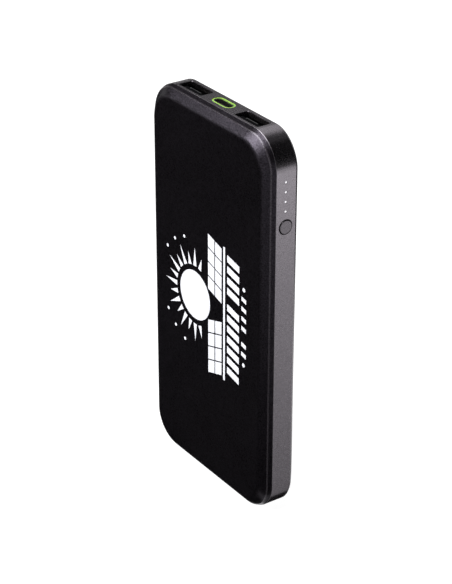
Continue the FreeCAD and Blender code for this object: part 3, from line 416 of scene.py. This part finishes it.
FINISHES = {
    "cover_black": cover_black,
    "frame_gunmetal": frame_gunmetal,
    "button_gunmetal": button_gunmetal,
    "chassis_plastic": chassis_plastic,
    "socket_steel": socket_steel,
    "shell_black": shell_black,
    "socket_plastic": socket_plastic,
    "contact_metal": contact_metal,
    "bezel_green": bezel_green,
    "white_plastic": light_guide,
    "led_body": led_body,
    "board_green": board_green,
    "component_dark": component_dark,
    "capacitor_can": capacitor_can,
    "ceramic_tan": ceramic_tan,
    "screw_steel": screw_steel,
    "cell_foil": cell_foil,
    "tab_nickel": tab_nickel,
    "lead_red": lead_red,
    "lead_black": lead_black,
    "foam_grey": foam_grey,
    "tape_clear": tape_clear,
}


def dress_nodes():
    """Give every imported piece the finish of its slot."""
    made = {slot: finish() for slot, finish in FINISHES.items()}
    for name, node in NODES.items():
        node.data.materials.clear()
        node.data.materials.append(made[SLOTS[name]])


# ------------------------------------------------------------------ front print
# Drawn in millimetres on the face: u runs up the object, v towards its left side, as the print reads.
INK = 0.02               # how far the ink stands proud of the face
INK_SUNK = 0.03          # how far it reaches into the face
PRINT_U = 69.0           # height of the print's middle
PRINT_V = -11.0          # the emblem's base line

SUN = (0.0, 17.5)
SUN_RADIUS = 9.0
SUN_CORNERS = 36
RAY_ROOT = 11.0
RAY_TIP = 17.8
SHORT_RAY_TIP = (RAY_ROOT + 2 * RAY_TIP) / 3
RAY_COUNT = 24
RAY_FULLNESS = 0.66
LOWEST_RAY = -0.3        # how far below the sun's middle a ray may point, as part of its length
DOT_CIRCLE = 20.6
DOT_TURNS = (18, 36, 54, 126, 144, 162)
DOT_RADIUS = 0.6
DOT_CORNERS = 24

PANEL_COLUMNS = 4
PANEL_ROWS = 2
PANEL_U = 3.0
PANEL_V = 1.7
CELL_PITCH_U = 5.2
CELL_PITCH_V = 4.2
CELL_GAP = 0.5
PANEL_LEAN = 0.3

GROUND_HALF_LENGTH = 25.0
GROUND_LOW = -0.3
GROUND_HIGH = 0.7

SLANT = 0.22             # lean of the bars
BAR_ROWS = (
    dict(groups=(7, 4), pitch=3.95, gap=2.2, low=-8.4, high=-1.6, width=2.5),
    dict(groups=(2, 4), pitch=3.6, gap=2.4, low=-12.4, high=-9.8, width=1.5),
)
ROW_DOTS = ((-14.0, -11.1), (14.0, -11.1))
ROW_DOT_RADIUS = 0.75


def around(centre, radius, turn):
    """Point on a circle, with its turn in degrees."""
    angle = math.radians(turn)
    return (centre[0] + radius * math.cos(angle), centre[1] + radius * math.sin(angle))


def disc(centre, radius, corners):
    return [around(centre, radius, 360.0 * index / corners) for index in range(corners)]


def upright_box(low_u, low_v, high_u, high_v):
    return [(low_u, low_v), (high_u, low_v), (high_u, high_v), (low_u, high_v)]


def slanted_bar(u, low, high, width):
    lean = SLANT * (high - low) / 2
    return [(u - width / 2 - lean, low), (u + width / 2 - lean, low),
            (u + width / 2 + lean, high), (u - width / 2 + lean, high)]


def bar_row(groups, pitch, gap, low, high, width):
    """Row of slanted bars in groups, centred, that stands where a line of lettering would."""
    length = pitch * (sum(groups) - 1) + gap * (len(groups) - 1)
    u = -length / 2
    bars = []
    for group in groups:
        for _ in range(group):
            bars.append(slanted_bar(u, low, high, width))
            u += pitch
        u += gap
    return bars


def sun_shapes():
    """Disc with a crown of tapered rays, long and short in turn, over its upper part."""
    shapes = [disc(SUN, SUN_RADIUS, SUN_CORNERS)]
    middle = Vector(SUN)
    for index in range(RAY_COUNT):
        along = Vector(around((0.0, 0.0), 1.0, 360.0 * index / RAY_COUNT))
        if along.y < LOWEST_RAY:
            continue
        tip = SHORT_RAY_TIP if index % 2 else RAY_TIP
        across = Vector((-along.y, along.x)) * math.pi * RAY_ROOT / RAY_COUNT * RAY_FULLNESS
        root = middle + along * RAY_ROOT
        shapes.append([tuple(root - across), tuple(middle + along * tip), tuple(root + across)])
    return shapes


def panel_shapes(side):
    """Cells of a leaning solar panel, to one side below the sun."""
    shapes = []
    for column in range(PANEL_COLUMNS):
        for row in range(PANEL_ROWS):
            low_u, low_v = PANEL_U + CELL_PITCH_U * column, PANEL_V + CELL_PITCH_V * row
            high_u, high_v = low_u + CELL_PITCH_U - CELL_GAP, low_v + CELL_PITCH_V - CELL_GAP
            cell = upright_box(low_u, low_v, high_u, high_v)
            leaned = [(side * (u + PANEL_LEAN * v), v) for u, v in cell]
            shapes.append(leaned[::side])    # the mirrored outline is reversed, to run anticlockwise too
    return shapes


def print_outlines():
    """Outlines of everything printed on the front cover, each anticlockwise in u and v."""
    shapes = sun_shapes()
    shapes += [disc(around(SUN, DOT_CIRCLE, turn), DOT_RADIUS, DOT_CORNERS) for turn in DOT_TURNS]
    shapes += panel_shapes(1) + panel_shapes(-1)
    shapes.append(upright_box(-GROUND_HALF_LENGTH, GROUND_LOW, GROUND_HALF_LENGTH, GROUND_HIGH))
    for row in BAR_ROWS:
        shapes += bar_row(**row)
    shapes += [disc(spot, ROW_DOT_RADIUS, DOT_CORNERS) for spot in ROW_DOTS]
    return shapes


def on_cover(u, v, depth):
    """Place in metres of a point of the print, at a depth in millimetres below the cover's face."""
    return (-(v + PRINT_V) * MM, FACE_Y + depth * MM, (u + PRINT_U) * MM)


def add_ink(work, outline):
    """Thin closed prism of ink over an outline that runs anticlockwise."""
    sunk = [work.verts.new(on_cover(u, v, INK_SUNK)) for u, v in outline]
    proud = [work.verts.new(on_cover(u, v, -INK)) for u, v in outline]
    work.faces.new(proud)
    work.faces.new(sunk[::-1])
    for index in range(len(outline)):
        work.faces.new((sunk[index - 1], sunk[index], proud[index], proud[index - 1]))


def make_print():
    """White emblem and bars on the front cover, as one thin layer of ink."""
    work = bmesh.new()
    for outline in print_outlines():
        add_ink(work, outline)
    mesh = bpy.data.meshes.new("front_print")
    work.to_mesh(mesh)
    work.free()
    mesh.materials.append(print_white())
    made = bpy.data.objects.new("front_print", mesh)
    bpy.context.scene.collection.objects.link(made)
    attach(made, CASE)


# ------------------------------------------------------------------ stage
RAY_KINDS = ("camera", "diffuse", "glossy", "transmission", "volume_scatter", "shadow")
FLOOR_EDGE = 3.0         # distance from the middle of the table to its edges
STAGE_SHADE = 0.30
FLOOR_GLOW = 0.97

# Round walls, from one azimuth to another; the backdrop closes the view behind the object.
WALL_RADIUS = 2.9
WALL_STEPS = 64
WALLS = {
    "backdrop": dict(start=0, end=360, height=3.0, glow=0.97, seen_by=("camera",)),
    "low_wall": dict(start=145, end=455, height=0.6, glow=0.35, seen_by=("glossy",)),
}

# Bright card on the table behind the right side.
BOUNCE_GLOW = 1.6
BOUNCE_AZIMUTH = 125
BOUNCE_REACH = (0.268, 0.36)
BOUNCE_HALF_WIDTH = 0.06
BOUNCE_LAYER = 4

# Dark cards on the table. Each has its corners in plan, the layer that it lies in, and a near and a
# far (distance from the middle of the table, opacity) that it fades between.
CARD_LIFT = 0.0008       # height of one layer
MEET_X = 0.03            # where the cards in front and at the right side meet
SIDE_X = 0.034           # the band's right side
BACK_FLAG_Y = 0.007      # the cards behind start here and end at BACK_END_Y
BACK_END_Y = 2.6
BACK_SPLIT_X = 1.53      # where the two cards behind meet at their far end
SIDE_FLAG_REACH = 0.5    # how far the card at the right side reaches, to the right and both ways along it
FOOT_X = -0.03           # left end of the small cards at the foot
UNDER_BACK_Y = 0.008
FOOT_Y = (0.022, 0.06)   # front and back edge of the small card behind the foot
FLAGS = {
    "front_flag": dict(
        corners=((-FLOOR_EDGE, FACE_Y + 0.002), (-FLOOR_EDGE, -FLOOR_EDGE),
                 (MEET_X, -FLOOR_EDGE), (MEET_X, FACE_Y + 0.002)),
        layer=1, near=(2.6, 1.0), far=(3.0, 0.0)),
    "right_flag": dict(
        corners=((MEET_X, FACE_Y - 0.008), (MEET_X, -FLOOR_EDGE), (FLOOR_EDGE, -FLOOR_EDGE),
                 (FLOOR_EDGE, 0.0), (0.04, 0.0)),
        layer=1, near=(0.08, 1.0), far=(0.3, 0.66)),
    "side_flag": dict(
        corners=((MEET_X, SIDE_FLAG_REACH), (MEET_X, -SIDE_FLAG_REACH),
                 (SIDE_FLAG_REACH, -SIDE_FLAG_REACH), (SIDE_FLAG_REACH, SIDE_FLAG_REACH)),
        layer=2, near=(0.04, 0.66), far=(0.33, 0.06)),
    "under_flag": dict(
        corners=((FOOT_X, FRAME_FRONT_Y), (SIDE_X, FRAME_FRONT_Y), (SIDE_X, UNDER_BACK_Y),
                 (FOOT_X, UNDER_BACK_Y)),
        layer=3, near=(0.0, 1.0), far=(1.0, 1.0)),
    "foot_flag": dict(
        corners=((FOOT_X, FOOT_Y[0]), (SIDE_X, FOOT_Y[0]), (SIDE_X, FOOT_Y[1]), (FOOT_X, FOOT_Y[1])),
        layer=3, near=(0.025, 0.7), far=(0.065, 0.0)),
    "back_right_flag": dict(
        corners=((SIDE_X, BACK_FLAG_Y), (FLOOR_EDGE, BACK_FLAG_Y), (FLOOR_EDGE, BACK_END_Y),
                 (BACK_SPLIT_X, BACK_END_Y)),
        layer=1, near=(0.6, 0.0), far=(1.0, 1.0)),
    "back_flag": dict(
        corners=((SIDE_X, BACK_FLAG_Y), (BACK_SPLIT_X, BACK_END_Y), (-FLOOR_EDGE, BACK_END_Y),
                 (-FLOOR_EDGE, BACK_FLAG_Y)),
        layer=1, near=(0.11, 0.2), far=(0.21, 1.0)),
}

# Soft boxes, with the brightness of their faces.
LIGHTS = {
    "key": dict(azimuth=-23, elevation=49, distance=0.7, size=(0.46, 0.68), radiance=8.0),
    "overhead": dict(azimuth=0, elevation=82, distance=0.8, size=(0.6, 0.4), radiance=3.0),
    "rear_left": dict(azimuth=219, elevation=46, distance=0.9, size=(0.5, 0.42), radiance=1.0),
    "rear": dict(azimuth=186, elevation=58, distance=0.9, size=(0.6, 0.45), radiance=0.08),
    "left_back": dict(azimuth=235, elevation=22, distance=0.9, size=(0.6, 0.25), radiance=0.16),
}
WORLD_COLOUR = (0.9, 0.92, 1.0, 1.0)
WORLD_STRENGTH = 0.006


def direction(azimuth, elevation):
    """Unit vector towards a point round the object; azimuth 0 is the front and 90 the right."""
    turn, rise = math.radians(azimuth), math.radians(elevation)
    return Vector((math.sin(turn) * math.cos(rise), -math.cos(turn) * math.cos(rise), math.sin(rise)))


def stage_mesh(name, points, faces, material, seen_by=RAY_KINDS):
    """Piece of the studio, seen only by the given kinds of ray."""
    mesh = bpy.data.meshes.new(name)
    mesh.from_pydata(points, [], faces)
    mesh.materials.append(material)
    made = bpy.data.objects.new(name, mesh)
    bpy.context.scene.collection.objects.link(made)
    for kind in RAY_KINDS:
        setattr(made, "visible_" + kind, kind in seen_by)


def glowing(name, glow):
    """Matt surface with an even light of its own."""
    s = Shader(name)
    s.set(Base_Color=(STAGE_SHADE, STAGE_SHADE, STAGE_SHADE), Roughness=0.9, Specular_IOR_Level=0.05,
          Emission_Color=(1.0, 1.0, 1.0), Emission_Strength=glow)
    return s.material


def make_floor():
    """White table with a light of its own, so that shadows on it stay faint."""
    edge = FLOOR_EDGE
    corners = [(-edge, -edge, 0), (edge, -edge, 0), (edge, edge, 0), (-edge, edge, 0)]
    stage_mesh("floor", corners, [(0, 1, 2, 3)], glowing("floor_white", FLOOR_GLOW))


def make_wall(name, start, end, height, glow, seen_by):
    """Round wall near the edge of the table, between two azimuths."""
    points = []
    for step in range(WALL_STEPS + 1):
        foot = direction(start + (end - start) * step / WALL_STEPS, 0) * WALL_RADIUS
        points += [tuple(foot), (foot.x, foot.y, height)]
    faces = [(low, low + 1, low + 3, low + 2) for low in range(0, 2 * WALL_STEPS, 2)]
    stage_mesh(name, points, faces, glowing(name, glow), seen_by)


def make_bounce_card():
    """Bright card that only reflections see, which the upper part of the band reflects."""
    along = direction(BOUNCE_AZIMUTH, 0)
    across = direction(BOUNCE_AZIMUTH + 90, 0) * BOUNCE_HALF_WIDTH
    start = Vector((HIGH.x, 0, BOUNCE_LAYER * CARD_LIFT))
    near, far = [start + along * reach for reach in BOUNCE_REACH]
    corners = [near - across, near + across, far + across, far - across]
    stage_mesh("bounce_card", corners, [(0, 1, 2, 3)], glowing("bounce_card", BOUNCE_GLOW), ("glossy",))


def make_flag(name, corners, layer, near, far):
    """Dark studio card that only reflections see."""
    s = Shader(name)
    away = s.node("ShaderNodeVectorMath", operation="LENGTH")
    s.feed(s.place, away.inputs[0])
    opacity = s.spread(away.outputs["Value"], low=near[1], high=far[1], start=near[0], end=far[0])
    s.set(Base_Color=(0.004, 0.004, 0.004), Roughness=1.0, Specular_IOR_Level=0.0, Alpha=opacity)
    points = [(x, y, layer * CARD_LIFT) for x, y in corners]
    stage_mesh(name, points, [tuple(range(len(points)))], s.material, ("glossy",))


def make_light(name, azimuth, elevation, distance, size, radiance):
    """Soft box aimed at the middle of the object."""
    data = bpy.data.lights.new(name, "AREA")
    data.shape = "RECTANGLE"
    data.size, data.size_y = size
    data.energy = radiance * math.pi * size[0] * size[1]
    light = bpy.data.objects.new(name, data)
    towards = direction(azimuth, elevation)
    light.location = Vector((0, 0, HALF_HEIGHT)) + towards * distance
    light.rotation_euler = towards.to_track_quat("Z", "Y").to_euler()
    bpy.context.scene.collection.objects.link(light)


def make_world():
    """Faint cool light from all round."""
    world = bpy.data.worlds.new("studio")
    world.use_nodes = True
    sky = world.node_tree.nodes["Background"]
    sky.inputs["Color"].default_value = WORLD_COLOUR
    sky.inputs["Strength"].default_value = WORLD_STRENGTH
    bpy.context.scene.world = world


# ------------------------------------------------------------------ camera
AZIMUTH = 55.35          # degrees
ELEVATION = 27.47
ROLL = 0.11
DISTANCE = 0.6355
AIM_RIGHT = 0.00676      # how far the middle of the picture lies right of the face's middle
AIM_UP = 0.00302
FOCAL_LENGTH = 116.65    # in millimetres, as is the sensor's width
SENSOR_WIDTH = 36.0


def make_camera():
    """Camera to the front right and above, as far away as its perspective asks for."""
    back = direction(AZIMUTH, ELEVATION)
    right = direction(AZIMUTH + 90, 0)
    up = back.cross(right)
    aim = Vector((0, FACE_Y, HALF_HEIGHT)) + right * AIM_RIGHT + up * AIM_UP
    data = bpy.data.cameras.new("camera")
    data.lens = FOCAL_LENGTH
    data.sensor_width = SENSOR_WIDTH
    camera = bpy.data.objects.new("camera", data)
    turn = Matrix((right, up, back)).transposed() @ Matrix.Rotation(math.radians(ROLL), 3, "Z")
    camera.matrix_world = Matrix.Translation(aim + back * DISTANCE) @ turn.to_4x4()
    bpy.context.scene.collection.objects.link(camera)
    bpy.context.scene.camera = camera


# ------------------------------------------------------------------ assembly
make_camera()
dress_nodes()
make_print()
make_floor()
for wall, values in WALLS.items():
    make_wall(wall, **values)
make_bounce_card()
make_world()
for flag, values in FLAGS.items():
    make_flag(flag, **values)
for light, values in LIGHTS.items():
    make_light(light, **values)
bpy.context.scene.view_settings.view_transform = "Standard"
